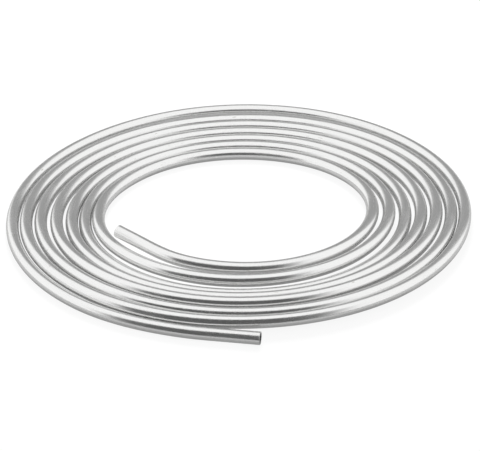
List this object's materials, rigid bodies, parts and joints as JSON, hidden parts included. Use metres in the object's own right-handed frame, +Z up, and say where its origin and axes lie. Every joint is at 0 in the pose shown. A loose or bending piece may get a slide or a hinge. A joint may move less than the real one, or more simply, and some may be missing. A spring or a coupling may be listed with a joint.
{
  "type": "coil of round metal tubing",
  "caption": "Loose flat coil of bright aluminium tube, one spiral length with open square-cut ends, for cutting, bending and plumbing lines.",
  "frame": {"origin": "centre of the coil's bounding box, on the floor it lies on", "axes": "+Z up, through the open eye of the coil; -Y towards the side where the outer end is cut; the tube winds outward counterclockwise seen from above"},
  "size_m": [0.3514, 0.3596, 0.0255],
  "materials": {
    "tube": "bright drawn"
  },
  "bodies": {
    "root": {"tube": "tube"}
  },
  "joints": []
}
